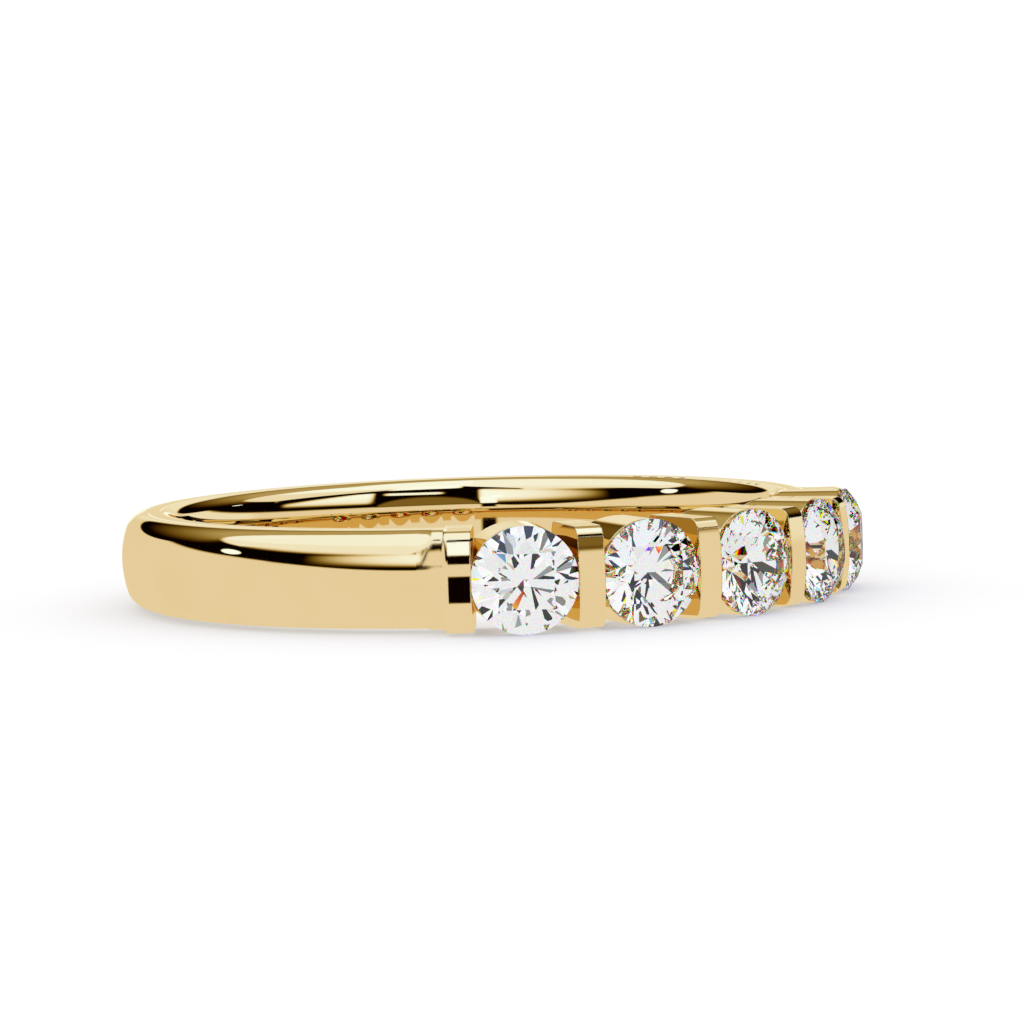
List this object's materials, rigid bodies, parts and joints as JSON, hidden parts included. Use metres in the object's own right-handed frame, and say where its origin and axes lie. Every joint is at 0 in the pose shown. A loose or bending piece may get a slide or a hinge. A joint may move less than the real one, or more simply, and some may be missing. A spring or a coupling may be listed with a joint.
{
  "type": "bar set band",
  "caption": "Narrow gold finger ring with a domed shank and a short row of round brilliant cut stones held by their edges between upright bars, each over a round cup.",
  "frame": {"origin": "centre of the finger hole, in the middle of the ring's width", "axes": "+Z along the finger hole's axis; the middle stone of the row faces -Y; the ring lies on its side with the finger hole upright, as in the picture"},
  "size_m": [0.0212, 0.0222, 0.003],
  "materials": {
    "gold": "polished",
    "diamond": "polished"
  },
  "bodies": {
    "root": {"band": "gold", "stone_1": "diamond", "stone_2": "diamond", "stone_3": "diamond", "stone_4": "diamond", "stone_5": "diamond"}
  },
  "joints": []
}
